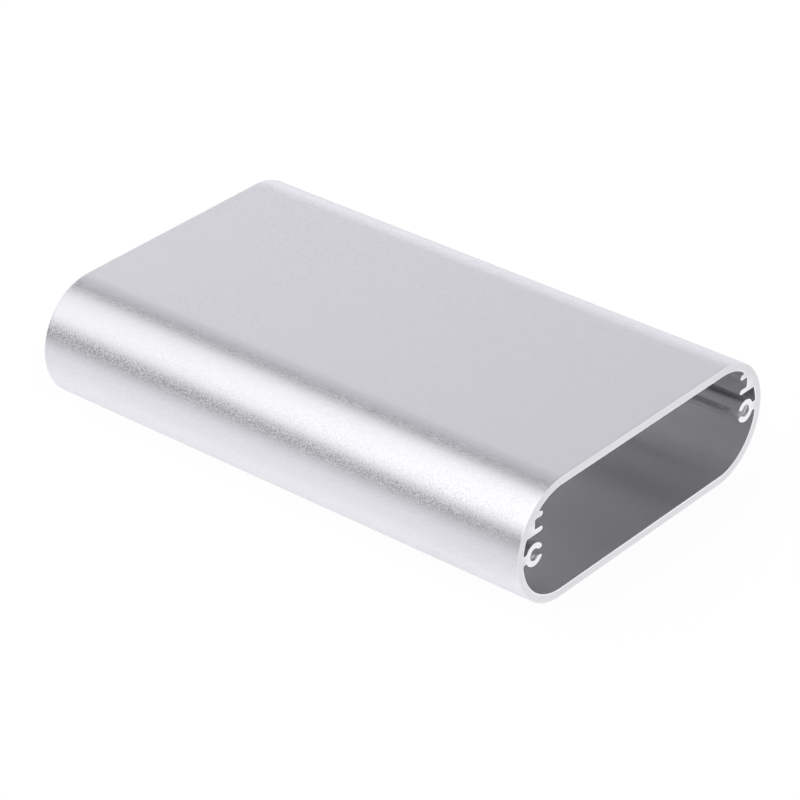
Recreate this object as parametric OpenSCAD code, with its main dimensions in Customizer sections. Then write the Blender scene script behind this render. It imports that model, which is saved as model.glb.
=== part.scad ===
// Extruded aluminium enclosure sleeve with rounded sides, open at both cut ends.
// One section is carried straight along Y: a closed oblong wall, a pair of rails that a
// circuit board slides into, and a pair of slit channels that take the end screws.
// The origin is at the middle of the underside, with +Z up.

/* [Body] */
// Width across the two rounded sides
body_width = 64; // [50:1:120]
// Height, which is also the diameter of the rounded sides
body_height = 22; // [20:0.5:30]
// Length that the extrusion is cut to
body_length = 100; // [30:1:300]
// Thickness of the outer wall
wall = 1.5; // [1:0.1:2.5]

/* [Board rails] */
// Thickness of the circuit board
board_thickness = 1.6; // [0.8:0.1:2.4]
// Room left for the board in its slot, above and below together
board_play = 0.2; // [0.1:0.05:0.5]
// Height of the board's middle above the middle of the sleeve
board_rise = 5.4; // [4.4:0.1:5.8]
// Depth of the slot over the board's edge
slot_depth = 1.9; // [1:0.1:3]
// Radius of the corners at the back of the slot
slot_corner = 0.2; // [0.1:0.05:0.4]
// Distance from the side wall's inner face to the back of the slot
slot_inset = 2.7; // [2:0.1:4]
// Thickness of the rounded lips above and below the slot
lip_thickness = 0.9; // [0.6:0.1:1.2]

/* [Screw channels] */
// Diameter of the channel that an end screw cuts its thread in
screw_bore = 2.1; // [1.6:0.1:3.2]
// Thickness of the channel's own wall
channel_wall = 1; // [0.7:0.1:1.4]
// Width of the slit along the channel's inner side
slit_width = 1.15; // [0.6:0.05:1.4]
// Radius of the slit's edges
slit_rounding = 0.3; // [0.1:0.05:0.35]
// Thickness of the web between the channel and the side wall
web_thickness = 1.6; // [1:0.1:2.4]
// Length of the web between the channel and the side wall
web_length = 0.7; // [0.5:0.1:2]

/* [Fillets] */
// Radius of the fillets where rails and webs meet the wall
root_fillet = 0.25; // [0.1:0.05:0.3]

/* [Hidden] */
$fn = 96;
aluminium = [0.8, 0.8, 0.82];

// How far pieces of the section run into each other where they join
overlap = 0.1;
// Rounds are drawn this much past tangent, so that they cross the edges that they blend into
blend = 0.0005;

// The section is drawn with its origin at mid-height.
// Its rounded sides are about (side_x, 0) and the mirrored point.
side_r = body_height / 2;
side_x = body_width / 2 - side_r;
inner_r = side_r - wall;
inner_side = body_width / 2 - wall;
mid_wall = body_width / 2 - wall / 2;

// Board slot and its lips
slot_height = board_thickness + board_play;
slot_back = inner_side - slot_inset;
slot_low = board_rise - slot_height / 2;
slot_high = board_rise + slot_height / 2;
rail_low = slot_low - lip_thickness;
rail_high = slot_high + lip_thickness;
lip_r = lip_thickness / 2;
lip_tip = slot_back - slot_depth;
lip_start = lip_tip + lip_r;

// The notch over the upper lip narrows to the wall, so its fillet is limited by that lip's flat:
// the largest one touches the flat where the rounded tip starts, and the wall from within.
notch_room = (pow(inner_r, 2) - pow(rail_high, 2) - pow(lip_start - side_x, 2))
    / (2 * (inner_r + rail_high));
notch_fillet = min(root_fillet, notch_room);

// Screw channel
bore_r = screw_bore / 2;
channel_r = bore_r + channel_wall;
channel_x = inner_side - web_length - channel_r;

// Centres of the slit's rounded edges, seen from the channel's axis
edge_y = slit_width / 2 + slit_rounding;
edge_in = -sqrt(pow(bore_r + slit_rounding, 2) - pow(edge_y, 2));
edge_out = -sqrt(pow(channel_r - slit_rounding, 2) - pow(edge_y, 2));

// Carries an outline of the section along the whole length
module along_length() {
    rotate([90, 0, 0])
        linear_extrude(body_length, center = true)
            children();
}

// Oblong with two full round sides
module racetrack(width, height) {
    square([width - height, height], center = true);
    for (way = [-1, 1])
        translate([way * (width - height) / 2, 0])
            circle(d = height);
}

// Fills the corner, right of centre_x, between a level edge and a round one of radius r about
// (centre_x, 0). The open space is above the level edge where above is 1 and below it where -1.
// It is outside the round edge where outside is 1 and within it where -1.
module corner_fillet(level, above, centre_x, r, outside, fillet) {
    reach = r + outside * fillet;
    y = level + above * fillet;
    centre = [sqrt(pow(reach, 2) - pow(y, 2)), y];
    corner = [sqrt(pow(r, 2) - pow(level, 2)), level];
    sunk_r = r - outside * overlap;
    sunk_level = level - above * overlap;
    along_length()
        translate([centre_x, 0])
            difference() {
                polygon([
                    centre,
                    [centre.x, sunk_level],
                    [corner.x, sunk_level],
                    corner * sunk_r / r,
                    centre * sunk_r / reach
                ]);
                translate(centre)
                    circle(fillet + blend);
            }
}

// Closed outer wall
module outer_wall() {
    along_length()
        difference() {
            racetrack(body_width, body_height);
            racetrack(body_width - 2 * wall, body_height - 2 * wall);
        }
}

// Outline of the groove for the board's edge, with round corners at its back
module board_slot() {
    mouth = lip_tip - overlap;
    translate([mouth, slot_low])
        square([slot_back - slot_corner - mouth, slot_height]);
    translate([mouth, slot_low + slot_corner])
        square([slot_back - mouth, slot_height - 2 * slot_corner]);
    for (y = [slot_low + slot_corner, slot_high - slot_corner])
        translate([slot_back - slot_corner, y])
            circle(slot_corner);
}

// Right-hand rail: two round-tipped lips, thickened out to the side wall behind their slot
module board_rail() {
    along_length()
        difference() {
            intersection() {
                racetrack(body_width - wall, body_height - wall);
                translate([lip_start, rail_low])
                    square([body_width / 2, rail_high - rail_low]);
            }
            board_slot();
        }
    for (y = [rail_low + lip_r, rail_high - lip_r])
        along_length()
            translate([lip_start, y])
                circle(lip_r);
    corner_fillet(rail_low, -1, side_x, inner_r, -1, root_fillet);
    if (notch_fillet > 0)
        corner_fillet(rail_high, 1, side_x, inner_r, -1, notch_fillet);
}

// Outline that opens the channel: through its bore wall and its outer wall it runs square to
// them, so that the rounded edges blend in
module slit_opening() {
    outer = [edge_out, edge_y];
    upper = [[edge_in, edge_y], outer, outer * (channel_r + overlap) / -edge_out];
    lower = [for (i = [2:-1:0]) [upper[i].x, -upper[i].y]];
    polygon(concat([[0, 0]], upper, lower));
}

// Upper rounded edge of the slit
module slit_edge() {
    for (x = [edge_in, edge_out])
        along_length()
            translate([channel_x + x, edge_y])
                circle(slit_rounding + blend);
    along_length()
        translate([channel_x + edge_out, slit_width / 2])
            square([edge_in - edge_out, slit_rounding + overlap]);
}

// Right-hand screw channel, slit towards the middle and held by a short web
module screw_channel() {
    along_length()
        translate([channel_x, 0])
            difference() {
                union() {
                    circle(channel_r);
                    translate([0, -web_thickness / 2])
                        square([mid_wall - channel_x, web_thickness]);
                }
                circle(bore_r);
                slit_opening();
            }
    for (flip = [0, 1])
        mirror([0, 0, flip])
            slit_edge();
    for (way = [-1, 1]) {
        corner_fillet(way * web_thickness / 2, way, side_x, inner_r, -1, root_fillet);
        corner_fillet(way * web_thickness / 2, way, channel_x, channel_r, 1, root_fillet);
    }
}

module extruded_sleeve() {
    color(aluminium)
        translate([0, 0, body_height / 2]) {
            outer_wall();
            for (flip = [0, 1])
                mirror([flip, 0, 0]) {
                    board_rail();
                    screw_channel();
                }
        }
}

extruded_sleeve();
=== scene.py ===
"""Looks of the extruded aluminium enclosure: satin outside, die-lined inside, sawn and deburred ends."""

import bpy
import numpy as np
from mathutils import Matrix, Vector
from mathutils.geometry import delaunay_2d_cdt


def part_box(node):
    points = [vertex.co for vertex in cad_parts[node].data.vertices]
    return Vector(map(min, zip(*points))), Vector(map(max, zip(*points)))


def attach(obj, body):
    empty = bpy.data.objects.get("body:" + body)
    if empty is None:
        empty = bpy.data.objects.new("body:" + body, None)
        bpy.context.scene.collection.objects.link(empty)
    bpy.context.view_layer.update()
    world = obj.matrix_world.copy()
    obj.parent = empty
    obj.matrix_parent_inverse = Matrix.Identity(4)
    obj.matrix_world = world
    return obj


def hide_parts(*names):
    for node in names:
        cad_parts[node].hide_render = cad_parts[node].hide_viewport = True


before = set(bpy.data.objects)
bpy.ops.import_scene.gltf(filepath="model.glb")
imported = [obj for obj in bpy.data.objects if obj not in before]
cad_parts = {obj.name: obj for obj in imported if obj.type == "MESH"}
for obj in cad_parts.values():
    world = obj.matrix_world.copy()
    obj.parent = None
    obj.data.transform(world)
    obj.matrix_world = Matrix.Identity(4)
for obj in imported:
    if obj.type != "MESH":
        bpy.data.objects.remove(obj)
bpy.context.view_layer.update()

MM = 0.001
QUARTER = np.pi / 2
SLEEVE_NODE = "extruded_sleeve"

# Overall size, from the solid
low_corner, high_corner = (np.array(corner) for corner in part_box(SLEEVE_NODE))
width, length, height = high_corner - low_corner
mid_x, mid_y, mid_z = (low_corner + high_corner) / 2

# Section: walls and rounded sides
wall = 1.5 * MM
root_fillet = 0.25 * MM
outer_r = height / 2
inner_r = outer_r - wall
round_x = width / 2 - outer_r

# Section: board rails
board_rise = 5.4 * MM
slot_height = 1.8 * MM
slot_depth = 1.9 * MM
slot_inset = 2.7 * MM
slot_corner = 0.2 * MM
lip_thickness = 0.9 * MM
slot_floor = board_rise - slot_height / 2
slot_ceiling = board_rise + slot_height / 2
rail_bottom = slot_floor - lip_thickness
rail_top = slot_ceiling + lip_thickness

# Section: slit screw channels
bore_r = 1.05 * MM
channel_wall = 1.0 * MM
web_thickness = 1.6 * MM
web_length = 0.7 * MM
slit_width = 1.15 * MM
slit_rounding = 0.3 * MM
channel_r = bore_r + channel_wall
channel_x = round_x + inner_r - web_length - channel_r

# Thread tapped into both ends of the screw channels. Its flats are shares of half a turn, and it dies
# away over the run-out, an angle in radians, beside the slit.
thread_pitch = 0.45 * MM
thread_depth = 0.2 * MM
thread_length = 4.05 * MM
thread_flat = 1 / 6
thread_run_in = 0.15 * MM
slit_run_out = 0.15

# Cut ends: the break of their edges, the width of the bright rim, and how bright edges, ribs and thread
# are made, from 0 to 1: partly rubbed metal, partly painted highlight
edge_break = 0.1 * MM
bright_rim_width = 0.18 * MM
outer_burnish_and_highlight = 0.25
rib_burnish_and_highlight = 0.7
rib_blend = 0.6 * MM
thread_burnish_and_highlight = 0.25

# Painted shade in the narrow gaps between the board rails and the screw channels
gap_mouth = 1.5 * MM
gap_blend = 0.7 * MM

# Fineness of the mesh: rings on a broken edge and to a turn of the thread, greatest steps, and how far a
# chord may lie from its arc. A straight run is left out where it is shorter than the slack's share of its
# spacing, and points of a cut face are one where they are closer than the fill's slack, in millimetres.
edge_steps = 5
thread_steps = 6
edge_margin = 0.25 * MM
ring_spacing = 4 * MM
run_spacing = 2 * MM
arc_sag = 0.002 * MM
run_slack = 1e-6
fill_slack = 1e-6

# Grain of the bead blasting: grains to the metre, and the noise levels at which a pit starts and is
# deepest
outside_grain = 3800.0
end_grain = 2200.0
grain_detail = 1.0
grain_falloff = 0.5
pit_start = 0.56
pit_floor = 0.4

# Lines of the die and the saw: lines to the metre, the shares by which they are stretched, and the noise
# levels between which a streak fades in
outside_lines = 900.0
inside_lines = 1400.0
saw_lines = 3000.0
along_length = (1.0, 0.012, 1.0)
across_section = (0.02, 1.0, 1.0)
line_detail = 3.0
line_falloff = 0.6
streak_start = 0.35
streak_full = 0.65

# Finishes: tones off and on the streaks, roughness, and depth of the relief. Edge on, all metal has the
# same tint.
edge_on_tint = (0.94, 0.94, 0.95, 1)
satin_tones = (0.815, 0.805, 0.856, 1), (0.811, 0.801, 0.852, 1)
satin_roughness = 0.276, 0.28
pit_roughness = 0.46
satin_relief = 0.016 * MM
inside_tones = (0.948, 0.946, 0.956, 1), (0.935, 0.933, 0.943, 1)
# Gap tone: painted shade, the inside darkened in the narrow gaps under the rails
painted_gap_shade = (0.83, 0.83, 0.84, 1)
inside_roughness = 0.28
inside_relief = 0.01 * MM
sawn_tones = (0.815, 0.809, 0.835, 1), (0.775, 0.770, 0.797, 1)
# Burnish tone: near white, partly burnished metal and partly a painted highlight on edges, rib edges and
# thread
burnish_and_highlight_tone = (0.985, 0.985, 0.99, 1)
sawn_roughness = 0.4
sawn_relief = 0.006 * MM

# Camera, fitted to the photograph's frame of 800 by 800 pixels
image_pixels = 800
focal_pixels = 3629.4
sensor_width = 36.0
camera_azimuth = np.radians(-50.204)
camera_elevation = np.radians(30.679)
camera_distance = 597.14 * MM
camera_shift = np.array([0.191, -3.693]) * MM
camera_clip = 10 * MM

# Room: grey levels of pale walls and of a soft box, by angle about the sleeve's length, in degrees from
# straight up towards the left. Both are multiplied by shares for where along the length the light comes
# from, from -1 in front of the near end to 1 behind the far one. The box's angles are multiplied by its
# narrowing first, so that it is narrower the further behind the far end it is. The walls are a touch
# bluer than white, and the box a touch warmer.
half_turn = 180
wall_light = [
    (-180, 1.0), (-100, 1.2), (-85, 1.18), (-62, 0.97), (-50, 0.74), (-32, 0.66), (-20, 0.28),
    (72, 0.23), (90, 0.26)
]
wall_along = [(-0.5, 0.95), (-0.15, 1.15), (0.2, 0.62), (0.4, 0.79), (0.55, 0.96), (0.8, 1.26)]
wall_tint = (1.0, 1.0, 1.013)
box_light = [
    (-17, 0.0), (-8, 0.16), (2, 0.94), (12, 1.14), (52, 1.33), (62, 1.33), (71.5, 1.19), (76.5, 0.0)
]
box_along = [(-0.02, 0.55), (0.18, 1.43), (0.7, 0.53)]
box_narrowing = [(0.4, 0.91), (0.7, 1.21)]
box_tint = (1.0, 1.0, 0.975)
white = (1.0, 1.0, 1.0, 1)

# Table: grey levels in reflections by place from left to right, and its level to the camera. Of either,
# the shadow's depth is given to scattered light, so that the open table comes out white and the sleeve's
# shadow shows on it.
floor_reach = 3.0
floor_drop = 0.02 * MM
table_side = 200 * MM
# These levels are painted light in the table's glow: dim far to the left, brighter at the sleeve's left
# foot, and a painted shadow to the right of the sleeve
table_light = [
    (-200 * MM, 0.4), (-140 * MM, 0.55), (-85 * MM, 0.77), (-46 * MM, 1.01), (-40 * MM, 1.01),
    (-32 * MM, 1.14), (-20 * MM, 1.0), (46 * MM, 1.03), (66 * MM, 0.84), (150 * MM, 1.12)
]
open_table = 1.025
shadow_depth = 0.1
plain_table = (0.85, 0.85, 0.85, 1)

# Light reaches the middle of the cavity only after many bounces
cavity_bounces = 24


def beside_wall(level):
    """x of the centre of a fillet at that level against the rounded wall: past the rounded side's axis by
    the root of (inner_r - fillet)^2 - level^2."""
    return round_x + np.sqrt((inner_r - root_fillet) ** 2 - level**2)


def wall_angle(level):
    """Angle about the rounded side's axis at which the fillet at that level touches the wall."""
    return np.arctan2(level, beside_wall(level) - round_x)


def flipped(arcs):
    """The arcs mirrored from below the middle to above it, walked in the opposite order."""
    return [(x, -z, r, -last, -first) for x, z, r, first, last in reversed(arcs)]


def swapped(arcs):
    """The arcs mirrored from the right side to the left, walked in the opposite order."""
    return [(-x, z, r, np.pi - last, np.pi - first) for x, z, r, first, last in reversed(arcs)]


def screw_channel_arcs():
    """Web, ring, slit and bore of the right screw channel, walked from the wall below it to the wall
    above.

    A rounding of radius s at the slit has its centre at s past the slit's face, and at channel_r - s or
    bore_r + s from the channel's axis, so its x is the root of that distance squared less its level
    squared."""
    web_level = web_thickness / 2 + root_fillet
    ring_x = channel_x + np.sqrt((channel_r + root_fillet) ** 2 - web_level**2)
    ring_angle = np.arctan2(web_level, ring_x - channel_x)
    slit_level = slit_width / 2 + slit_rounding
    mouth_x = channel_x - np.sqrt((channel_r - slit_rounding) ** 2 - slit_level**2)
    throat_x = channel_x - np.sqrt((bore_r + slit_rounding) ** 2 - slit_level**2)
    mouth_angle = np.arctan2(slit_level, mouth_x - channel_x)
    throat_angle = np.arctan2(slit_level, throat_x - channel_x)
    lower = [
        (beside_wall(web_level), -web_level, root_fillet, -wall_angle(web_level), QUARTER),
        (ring_x, -web_level, root_fillet, QUARTER, np.pi - ring_angle),
        (channel_x, 0, channel_r, -ring_angle, -mouth_angle),
        (mouth_x, -slit_level, slit_rounding, -mouth_angle, -3 * QUARTER),
        (throat_x, -slit_level, slit_rounding, QUARTER, np.pi - throat_angle),
    ]
    bore = (channel_x, 0, bore_r, -throat_angle, throat_angle)
    return [*lower, bore, *flipped(lower)]


def board_rail_arcs():
    """Fillet, two round-tipped lips and the slot between them on the right wall, walked upwards."""
    lip_r = lip_thickness / 2
    slot_back = round_x + inner_r - slot_inset
    tip_x = slot_back - slot_depth + lip_r
    corner_x = slot_back - slot_corner
    under = rail_bottom - root_fillet
    over = rail_top + root_fillet
    return [
        (beside_wall(under), under, root_fillet, wall_angle(under), QUARTER),
        (tip_x, slot_floor - lip_r, lip_r, -QUARTER, -3 * QUARTER),
        (corner_x, slot_floor + slot_corner, slot_corner, -QUARTER, 0),
        (corner_x, slot_ceiling - slot_corner, slot_corner, 0, QUARTER),
        (tip_x, slot_ceiling + lip_r, lip_r, -QUARTER, -3 * QUARTER),
        (beside_wall(over), over, root_fillet, -QUARTER, wall_angle(over)),
    ]


def cavity_arcs():
    """The cavity's whole outline: rounded wall, screw channel and board rail on the right, then the same
    on the left. An arc is its centre's x and z, its radius, and its first and last angle."""
    channel = screw_channel_arcs()
    rail = board_rail_arcs()
    right = [
        (round_x, 0, inner_r, -QUARTER, channel[0][3]),
        *channel,
        (round_x, 0, inner_r, channel[-1][4], rail[0][3]),
        *rail,
        (round_x, 0, inner_r, rail[-1][4], QUARTER),
    ]
    return [*right, *swapped(right)]


def outside_arcs():
    """The outside: two half rounds joined by the flat top and underside."""
    right = [(round_x, 0, outer_r, -QUARTER, QUARTER)]
    return [*right, *swapped(right)]


def walk(arcs):
    """Points and unit directions of travel along a closed outline of arcs joined by straight runs.

    An arc's point at angle a is centre + r (cos a, sin a), and its direction is (-sin a, cos a), turned
    round where the angle falls. Its even number of steps is such that no chord lies further than arc_sag
    from the arc."""
    table = np.array(arcs, float)
    centre, radius, first, last = table[:, :2], table[:, 2], table[:, 3], table[:, 4]
    starts = centre + radius[:, None] * np.stack([np.cos(first), np.sin(first)], 1)
    ends = centre + radius[:, None] * np.stack([np.cos(last), np.sin(last)], 1)
    runs = np.roll(starts, -1, 0) - ends
    run_lengths = np.linalg.norm(runs, axis=1)
    half_step = np.arccos(1 - arc_sag / radius)
    arc_steps = 2 * np.ceil(np.abs(last - first) / (4 * half_step)).astype(int)
    run_steps = np.ceil(run_lengths / run_spacing - run_slack).astype(int)
    points, directions = [], []
    for i in range(len(arcs)):
        angle = np.linspace(first[i], last[i], arc_steps[i], endpoint=False)[:, None]
        around = np.concatenate([np.cos(angle), np.sin(angle)], 1)
        points.append(centre[i] + radius[i] * around)
        directions.append(np.sign(last[i] - first[i]) * around[:, ::-1] * [-1, 1])
        share = np.linspace(0, 1, run_steps[i], endpoint=False)[:, None]
        points.append(ends[i] + share * runs[i])
        directions.append(np.repeat(runs[i : i + 1], run_steps[i], 0) / run_lengths[i])
    return np.concatenate(points), np.concatenate(directions)


def length_rings(fine_length):
    """Place along the length and inset of each ring: a flat rim and a quarter round at both ends,
    straight between.

    At angle t of the quarter round the ring lies break (1 - cos t) from the cut and break (1 - sin t)
    inside the outline. The rim lies in the cut itself. Over the fine length next to both ends there are
    thread_steps rings to each turn of the thread."""
    angle = np.linspace(0, QUARTER, edge_steps)
    run = np.append(0, edge_break * (1 - np.cos(angle)))
    inset = np.append(edge_break + bright_rim_width, edge_break * (1 - np.sin(angle)))
    straight_end = length / 2 - edge_break - edge_margin
    fine_steps = round(fine_length / thread_pitch * thread_steps)
    fine = straight_end - np.linspace(0, fine_length, fine_steps, endpoint=False)
    coarse_end = straight_end - fine_length
    coarse = np.linspace(-coarse_end, coarse_end, int(np.ceil(2 * coarse_end / ring_spacing)) + 1)
    straight = np.concatenate([-fine, coarse, fine[::-1]])
    place = np.concatenate([run - length / 2, straight, (length / 2 - run)[::-1]])
    return place, np.concatenate([inset, np.zeros(len(straight)), inset[::-1]])


def deburred(place, inset):
    """Which rings lie on the quarter rounds: no further inside the outline than the break, and next to a
    cut."""
    return (inset <= edge_break) & (length / 2 - np.abs(place) < edge_break + edge_margin / 2)


def rib_share(points):
    """How far an outline point stands out from the wall, from 0 at the wall to 1 past the blend's width.

    The wall's inner face lies inner_r from the middle line, which runs flat between the axes of the
    rounded sides."""
    from_middle = np.hypot(np.maximum(np.abs(points[:, 0]) - round_x, 0), points[:, 1])
    return np.clip((inner_r - root_fillet - from_middle) / rib_blend, 0, 1)


def gap_share(points):
    """How deep an outline point lies in the narrow gap between a board rail and a screw channel, from 0
    to 1.

    The gap lies above the channel's ring and web and under the rail. It starts gap_mouth before the
    channel's axis and is full gap_blend further in."""
    past_axis = np.abs(points[:, 0]) - channel_x
    outside_ring = np.hypot(past_axis, points[:, 1]) > channel_r - arc_sag
    between = (points[:, 1] > 0) & (points[:, 1] < rail_bottom + arc_sag)
    return (outside_ring & between) * np.clip((past_axis + gap_mouth) / gap_blend, 0, 1)


def thread_share(points, place):
    """How fully the thread is cut at each ring and outline point, from 0 outside the bores to 1.

    It grows over the run-in from where the bore is straight, runs out over its last turn, and dies away
    over a small angle on both sides of the slit."""
    bore_x = np.abs(points[:, 0]) - channel_x
    angle = np.abs(np.arctan2(points[:, 1], bore_x))
    in_bore = np.hypot(bore_x, points[:, 1]) < bore_r + arc_sag
    beside_slit = np.clip((angle[in_bore].max() - angle) / slit_run_out, 0, 1) * in_bore
    inward = length / 2 - edge_break - edge_margin - np.abs(place)
    along = np.clip(inward / thread_run_in, 0, 1) * np.clip((thread_length - inward) / thread_pitch, 0, 1)
    return along[:, None] * beside_slit


def thread_groove(points, place):
    """Depth of a right-hand thread's groove, as a share of the full depth, at each ring and outline
    point.

    A turn is the place over the pitch less the angle about the bore over a full circle. The groove is a
    triangular wave of the turn, from 0 to 1, cut off flat at crest and root and stretched to the full
    depth again."""
    angle = np.arctan2(points[:, 0] - np.sign(points[:, 0]) * channel_x, points[:, 1])
    turn = place[:, None] / thread_pitch - angle / (2 * np.pi)
    wave = np.abs(2 * (turn % 1) - 1)
    return np.clip((wave - thread_flat) / (1 - 2 * thread_flat), 0, 1)


def swept_wall(points, normals, place, depth):
    """Grid of vertices, ring by ring along the length: each outline point drawn back along its normal by
    the depth."""
    flat = points[None] - normals[None] * depth[..., None]
    along = np.broadcast_to(place[:, None], flat.shape[:2])
    return np.stack([mid_x + flat[..., 0], mid_y + along, mid_z + flat[..., 1]], -1)


def wall_quads(rings, count, first, turned):
    """Corner numbers of the quads between neighbouring rings of count points, numbered from first."""
    ring, spot = np.meshgrid(np.arange(rings - 1), np.arange(count), indexing="ij")
    here = first + ring * count + spot
    beside = first + ring * count + (spot + 1) % count
    quads = np.stack([here, here + count, beside + count, beside], -1).reshape(-1, 4)
    return quads[:, ::-1] if turned else quads


def extruded_sleeve():
    """The sleeve: outside and cavity outlines carried along the length, closed by the two cut faces.

    The thread is drawn into the cavity's wall. Both cut faces are the flat region between the two
    outlines, drawn back by the edge break and the bright rim, where burnish and painted highlight lie,
    filled with triangles. Finish 0 is the satin outside, 1 the die-lined inside and 2 the sawn end."""
    outside, outside_travel = walk(outside_arcs())
    cavity, cavity_travel = walk(cavity_arcs())
    outward = outside_travel[:, ::-1] * [1, -1]
    inward = cavity_travel[:, ::-1] * [-1, 1]
    outside_place, outside_inset = length_rings(0)
    cavity_place, cavity_inset = length_rings(thread_length)
    tapped = thread_share(cavity, cavity_place)
    groove = tapped * thread_groove(cavity, cavity_place) * thread_depth
    outside_wall = swept_wall(outside, outward, outside_place, outside_inset[:, None])
    cavity_wall = swept_wall(cavity, inward, cavity_place, cavity_inset[:, None] + groove)
    outside_rings, outside_count = outside_wall.shape[:2]
    cavity_rings, cavity_count = cavity_wall.shape[:2]
    cavity_first = outside_rings * outside_count
    vertices = np.concatenate([outside_wall.reshape(-1, 3), cavity_wall.reshape(-1, 3)])

    rim = np.concatenate([outside_wall[0], cavity_wall[0]])[:, [0, 2]]
    loops = [np.arange(outside_count), outside_count + np.arange(cavity_count)]
    fill = delaunay_2d_cdt((rim / MM).tolist(), [], [loop.tolist() for loop in loops], 2, fill_slack)
    near_numbers = np.concatenate([loops[0], cavity_first + np.arange(cavity_count)])
    far_numbers = np.concatenate([
        (outside_rings - 1) * outside_count + loops[0],
        cavity_first + (cavity_rings - 1) * cavity_count + np.arange(cavity_count),
    ])
    triangles = np.array(fill[2])
    caps = np.concatenate([near_numbers[triangles], far_numbers[triangles][:, ::-1]])

    outside_quads = wall_quads(outside_rings, outside_count, 0, False)
    cavity_quads = wall_quads(cavity_rings, cavity_count, cavity_first, True)
    mesh = bpy.data.meshes.new("satin_sleeve")
    mesh.from_pydata(vertices, [], [*outside_quads.tolist(), *cavity_quads.tolist(), *caps.tolist()])

    outside_band = np.repeat(outside_inset[:-1] + outside_inset[1:], outside_count)
    cavity_band = np.repeat(cavity_inset[:-1] + cavity_inset[1:], cavity_count)
    outside_finish = np.where(outside_band > 0, 2, 0)
    cavity_finish = np.where((cavity_band > 0) | (tapped[1:].ravel() > 0), 2, 1)
    finish = np.concatenate([outside_finish, cavity_finish, np.full(len(caps), 2)])
    in_cut = np.concatenate([outside_band, cavity_band]) > 2 * edge_break
    smooth = np.concatenate([~in_cut, np.full(len(caps), False)])
    mesh.polygons.foreach_set("material_index", finish.astype(np.int32))
    mesh.polygons.foreach_set("use_smooth", smooth)

    # Painted highlight and burnish: brightness on the deburred edges, the rib edges at the cuts and the
    # thread
    outside_burnish_and_highlight = np.repeat(outer_burnish_and_highlight * deburred(outside_place, outside_inset), outside_count)
    cavity_burnish_and_highlight = np.maximum(deburred(cavity_place, cavity_inset)[:, None], thread_burnish_and_highlight * tapped)
    cavity_burnish_and_highlight[[0, -1]] = rib_burnish_and_highlight * rib_share(cavity)
    burnish_and_highlight = np.concatenate([outside_burnish_and_highlight, cavity_burnish_and_highlight.ravel()])
    # Painted shade: the share by which the inside is darkened in the gaps under the rails
    gap = np.concatenate([np.zeros(cavity_first), np.tile(gap_share(cavity), cavity_rings)])
    mesh.attributes.new("burnish_and_highlight", "FLOAT", "POINT").data.foreach_set("value", burnish_and_highlight)
    mesh.attributes.new("gap", "FLOAT", "POINT").data.foreach_set("value", gap)
    mesh.validate()
    mesh.update()
    return mesh


def feed(tree, socket, value):
    """Links another node's output to the socket, or sets the socket to a plain value."""
    if isinstance(value, bpy.types.NodeSocket):
        tree.links.new(value, socket)
    else:
        socket.default_value = value


def add(tree, kind, feeds=None, **properties):
    """A node of that kind in the tree, with its properties set and its inputs fed by name or number."""
    made = tree.nodes.new(kind)
    for name, value in properties.items():
        setattr(made, name, value)
    for name, value in (feeds or {}).items():
        feed(tree, made.inputs[name], value)
    return made


def blend(tree, share, first, second):
    """A colour that goes from the first to the second by the share."""
    feeds = {"Factor": share, "A": first, "B": second}
    return add(tree, "ShaderNodeMix", feeds, data_type="RGBA").outputs["Result"]


def reckon(tree, operation, *terms):
    """The result of a Math node's operation on the terms."""
    return add(tree, "ShaderNodeMath", dict(enumerate(terms)), operation=operation).outputs[0]


def attribute(tree, name):
    """A value that the mesh carries on its points."""
    return add(tree, "ShaderNodeAttribute", attribute_name=name).outputs["Fac"]


def group(name, inputs, outputs):
    """An empty shader node group with named sockets, and its input and output nodes."""
    tree = bpy.data.node_groups.new(name, "ShaderNodeTree")
    for label, kind, value in inputs:
        tree.interface.new_socket(label, in_out="INPUT", socket_type=kind).default_value = value
    for label, kind in outputs:
        tree.interface.new_socket(label, in_out="OUTPUT", socket_type=kind)
    return tree, tree.nodes.new("NodeGroupInput"), tree.nodes.new("NodeGroupOutput")


def blast_grain_group():
    """Bead-blasted pitting: noise in three dimensions, as a height and as a mask of the deeper pits."""
    tree, entry, out = group(
        "blast_grain",
        [("Grain per Metre", "NodeSocketFloat", outside_grain)],
        [("Height", "NodeSocketFloat"), ("Pits", "NodeSocketFloat")],
    )
    relief = add(tree, "ShaderNodeTexNoise", {
        "Vector": add(tree, "ShaderNodeTexCoord").outputs["Object"],
        "Scale": entry.outputs["Grain per Metre"],
        "Detail": grain_detail,
        "Roughness": grain_falloff,
    }).outputs["Fac"]
    depths = {"Value": relief, "From Min": pit_start, "From Max": pit_floor}
    pits = add(tree, "ShaderNodeMapRange", depths, interpolation_type="SMOOTHSTEP")
    feed(tree, out.inputs["Height"], relief)
    feed(tree, out.inputs["Pits"], pits.outputs["Result"])
    return tree


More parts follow.
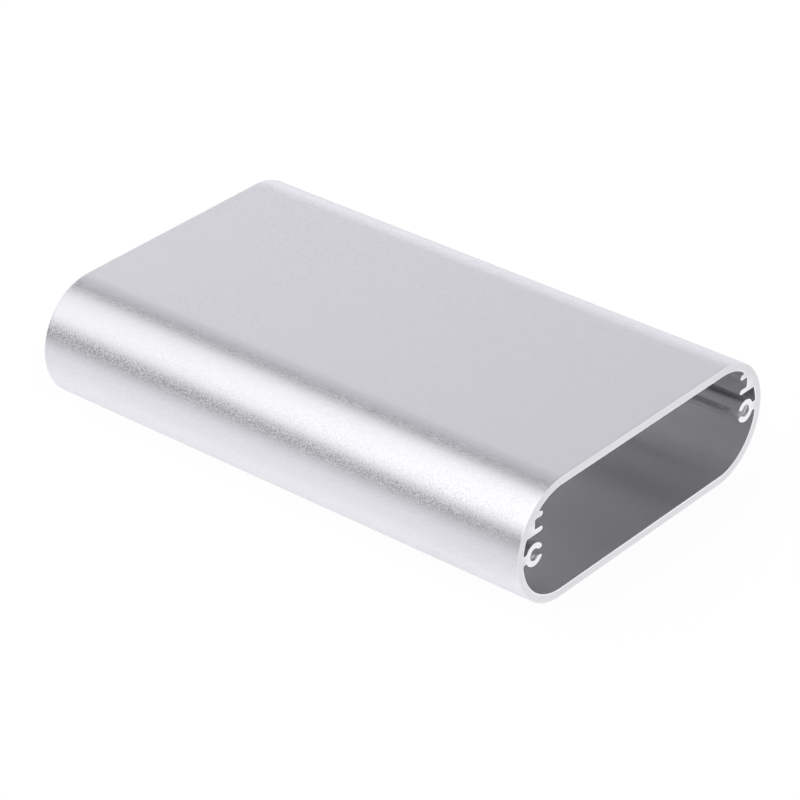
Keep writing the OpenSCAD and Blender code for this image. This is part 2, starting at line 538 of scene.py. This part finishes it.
def drawn_line_group():
    """Lines left by a die or a saw: noise stretched one way, so that it varies only across the lines."""
    tree, entry, out = group(
        "drawn_lines",
        [
            ("Lines per Metre", "NodeSocketFloat", outside_lines),
            ("Stretch", "NodeSocketVector", along_length),
        ],
        [("Height", "NodeSocketFloat"), ("Streaks", "NodeSocketFloat")],
    )
    stretch = add(tree, "ShaderNodeMapping", {
        "Vector": add(tree, "ShaderNodeTexCoord").outputs["Object"],
        "Scale": entry.outputs["Stretch"],
    })
    relief = add(tree, "ShaderNodeTexNoise", {
        "Vector": stretch.outputs["Vector"],
        "Scale": entry.outputs["Lines per Metre"],
        "Detail": line_detail,
        "Roughness": line_falloff,
    }).outputs["Fac"]
    levels = {"Value": relief, "From Min": streak_start, "From Max": streak_full}
    streaks = add(tree, "ShaderNodeMapRange", levels, interpolation_type="SMOOTHSTEP")
    feed(tree, out.inputs["Height"], relief)
    feed(tree, out.inputs["Streaks"], streaks.outputs["Result"])
    return tree


def metal(name):
    """A bare metal material and its tree."""
    made = bpy.data.materials.new(name)
    made.use_nodes = True
    shader = made.node_tree.nodes["Principled BSDF"]
    shader.inputs["Metallic"].default_value = 1.0
    shader.inputs["Specular Tint"].default_value = edge_on_tint
    return made, made.node_tree


def dress(tree, tone, roughness, relief, depth):
    """Feeds the metal's tone and roughness, and bumps its surface by the relief times the depth."""
    shader = tree.nodes["Principled BSDF"]
    bump = add(tree, "ShaderNodeBump", {"Strength": 1.0, "Distance": depth, "Height": relief})
    feed(tree, shader.inputs["Base Color"], tone)
    feed(tree, shader.inputs["Roughness"], roughness)
    feed(tree, shader.inputs["Normal"], bump.outputs["Normal"])


def satin_outside(grain, lines):
    """Bead-blasted and clear-anodised: fine pits that are rougher than the metal between them, and a
    trace of the die's lines."""
    made, tree = metal("satin_anodised_outside")
    pitting = add(tree, "ShaderNodeGroup", node_tree=grain)
    streaks = add(tree, "ShaderNodeGroup", node_tree=lines).outputs["Streaks"]
    between = add(tree, "ShaderNodeMapRange", {
        "Value": streaks, "To Min": satin_roughness[0], "To Max": satin_roughness[1],
    })
    rough = add(tree, "ShaderNodeMapRange", {
        "Value": pitting.outputs["Pits"], "To Min": between.outputs["Result"], "To Max": pit_roughness,
    })
    tone = blend(tree, streaks, *satin_tones)
    dress(tree, tone, rough.outputs["Result"], pitting.outputs["Height"], satin_relief)
    return made


def die_lined_inside(lines):
    """As it left the die under the clear anodising: lines along the length, and painted shade in the gaps
    under the rails."""
    made, tree = metal("die_lined_inside")
    drawn = add(tree, "ShaderNodeGroup", {"Lines per Metre": inside_lines}, node_tree=lines)
    tone = blend(tree, drawn.outputs["Streaks"], *inside_tones)
    # Painted shade darkens the gaps under the rails
    shaded_gaps = blend(tree, attribute(tree, "gap"), tone, painted_gap_shade)
    dress(tree, shaded_gaps, inside_roughness, drawn.outputs["Height"], inside_relief)
    return made


def sawn_end(grain, lines):
    """The cut faces: faint lines of the saw across the section, and edges made bright where they were
    deburred, as are rib edges and thread: partly burnished metal, partly painted highlight."""
    made, tree = metal("sawn_end")
    pitting = add(tree, "ShaderNodeGroup", {"Grain per Metre": end_grain}, node_tree=grain)
    cuts = {"Lines per Metre": saw_lines, "Stretch": across_section}
    sawn = add(tree, "ShaderNodeGroup", cuts, node_tree=lines)
    tone = blend(tree, sawn.outputs["Streaks"], *sawn_tones)
    burnished_and_highlighted = blend(tree, attribute(tree, "burnish_and_highlight"), tone, burnish_and_highlight_tone)
    dress(tree, burnished_and_highlighted, sawn_roughness, pitting.outputs["Height"], sawn_relief)
    return made


def light_ramp(tree, value, lowest, highest, stops, tint=white):
    """Light levels by a value that runs from lowest to highest, straight between the stops, times the
    tint."""
    share = add(tree, "ShaderNodeMapRange", {"Value": value, "From Min": lowest, "From Max": highest})
    ramp = add(tree, "ShaderNodeValToRGB", {"Fac": share.outputs["Result"]})
    elements = ramp.color_ramp.elements
    while len(elements) < len(stops):
        elements.new(1.0)
    for element, (place, level) in zip(elements, stops):
        element.position = (place - lowest) / (highest - lowest)
        element.color = (level * tint[0], level * tint[1], level * tint[2], 1)
    return ramp.outputs["Color"]


def white_table():
    """The table's material: glowing white less the sleeve's soft shadow to the camera and in reflections,
    and plain to scattered light. In reflections its glow is painted light by place: dim where its far
    left lies in the dim part of the room, brighter by the sleeve's left foot, and a painted shadow to the
    right of the sleeve."""
    made = bpy.data.materials.new("white_table")
    made.use_nodes = True
    tree = made.node_tree
    tree.nodes.remove(tree.nodes["Principled BSDF"])
    path = add(tree, "ShaderNodeLightPath")
    where = add(tree, "ShaderNodeTexCoord").outputs["Object"]
    rightward = add(tree, "ShaderNodeSeparateXYZ", {"Vector": where}).outputs["X"]
    level = add(tree, "ShaderNodeMix", {
        "Factor": path.outputs["Is Camera Ray"],
        "A": light_ramp(tree, rightward, -table_side, table_side, table_light),
        "B": open_table,
    }).outputs["Result"]
    strength = reckon(tree, "MULTIPLY", level, 1 - shadow_depth)
    glow = add(tree, "ShaderNodeEmission", {"Strength": strength})
    shaded = add(tree, "ShaderNodeBsdfDiffuse", {"Color": (shadow_depth, shadow_depth, shadow_depth, 1)})
    both = add(tree, "ShaderNodeAddShader", {0: glow.outputs[0], 1: shaded.outputs[0]})
    plain = add(tree, "ShaderNodeBsdfDiffuse", {"Color": plain_table})
    mirrored = reckon(tree, "MAXIMUM", path.outputs["Is Camera Ray"], path.outputs["Is Glossy Ray"])
    seen = reckon(tree, "MAXIMUM", mirrored, path.outputs["Is Transmission Ray"])
    choose = add(tree, "ShaderNodeMixShader", {0: seen, 1: plain.outputs[0], 2: both.outputs[0]})
    feed(tree, tree.nodes["Material Output"].inputs["Surface"], choose.outputs[0])
    return made


def pale_floor():
    """A wide square table top, a hair below the sleeve."""
    mesh = bpy.data.meshes.new("floor")
    corners = np.array([(-1, -1), (1, -1), (1, 1), (-1, 1)]) * floor_reach
    mesh.from_pydata(np.insert(corners, 2, -floor_drop, 1).tolist(), [], [(0, 1, 2, 3)])
    mesh.materials.append(white_table())
    floor = bpy.data.objects.new("floor", mesh)
    bpy.context.collection.objects.link(floor)


def studio_light():
    """Soft light all round, set by the angle about the sleeve's length: pale walls that dim upwards, and
    one broad soft box at the upper left. To the camera the room is white."""
    world = bpy.data.worlds.new("studio")
    bpy.context.scene.world = world
    world.use_nodes = True
    tree = world.node_tree
    where = add(tree, "ShaderNodeTexCoord").outputs["Generated"]
    split = add(tree, "ShaderNodeSeparateXYZ", {"Vector": where})
    backward = split.outputs["Y"]
    leftward = reckon(tree, "MULTIPLY", split.outputs["X"], -1.0)
    turn = reckon(tree, "DEGREES", reckon(tree, "ARCTAN2", leftward, split.outputs["Z"]))
    narrowed = reckon(tree, "MULTIPLY", turn, light_ramp(tree, backward, -1, 1, box_narrowing))
    walls = add(tree, "ShaderNodeVectorMath", {
        0: light_ramp(tree, turn, -half_turn, half_turn, wall_light, wall_tint),
        1: light_ramp(tree, backward, -1, 1, wall_along),
    }, operation="MULTIPLY")
    box = add(tree, "ShaderNodeVectorMath", {
        0: light_ramp(tree, narrowed, -half_turn, half_turn, box_light, box_tint),
        1: light_ramp(tree, backward, -1, 1, box_along),
    }, operation="MULTIPLY")
    room = add(tree, "ShaderNodeVectorMath", {0: walls.outputs[0], 1: box.outputs[0]}, operation="ADD")
    to_camera = add(tree, "ShaderNodeLightPath").outputs["Is Camera Ray"]
    feed(tree, tree.nodes["Background"].inputs["Color"], blend(tree, to_camera, room.outputs[0], white))


def photo_camera():
    """The camera at the photograph's place: back along the viewing direction, then shifted in its own
    plane."""
    back = np.array([
        np.sin(camera_azimuth) * np.cos(camera_elevation),
        -np.cos(camera_azimuth) * np.cos(camera_elevation),
        np.sin(camera_elevation),
    ])
    right = np.cross([0, 0, 1], back)
    right /= np.linalg.norm(right)
    up = np.cross(back, right)
    centre = np.array([mid_x, mid_y, mid_z])
    eye = centre + back * camera_distance + right * camera_shift[0] + up * camera_shift[1]
    placing = np.eye(4)
    placing[:3] = np.stack([right, up, back, eye], 1)
    data = bpy.data.cameras.new("photo_camera")
    data.sensor_width = sensor_width
    data.lens = focal_pixels * sensor_width / image_pixels
    data.clip_start = camera_clip
    camera = bpy.data.objects.new("photo_camera", data)
    camera.matrix_world = Matrix(placing.tolist())
    bpy.context.collection.objects.link(camera)
    bpy.context.scene.camera = camera


grain = blast_grain_group()
lines = drawn_line_group()
sleeve = bpy.data.objects.new("satin_sleeve", extruded_sleeve())
for finish in (satin_outside(grain, lines), die_lined_inside(lines), sawn_end(grain, lines)):
    sleeve.data.materials.append(finish)
bpy.context.collection.objects.link(sleeve)
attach(sleeve, "root")
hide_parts(SLEEVE_NODE)

pale_floor()
studio_light()
photo_camera()
bpy.context.scene.view_settings.view_transform = "Standard"
bpy.context.scene.cycles.max_bounces = cavity_bounces
bpy.context.scene.cycles.glossy_bounces = cavity_bounces
# Guides that aren't smoothed first keep the fine grain when the picture is denoised
bpy.context.scene.cycles.denoising_prefilter = "NONE"
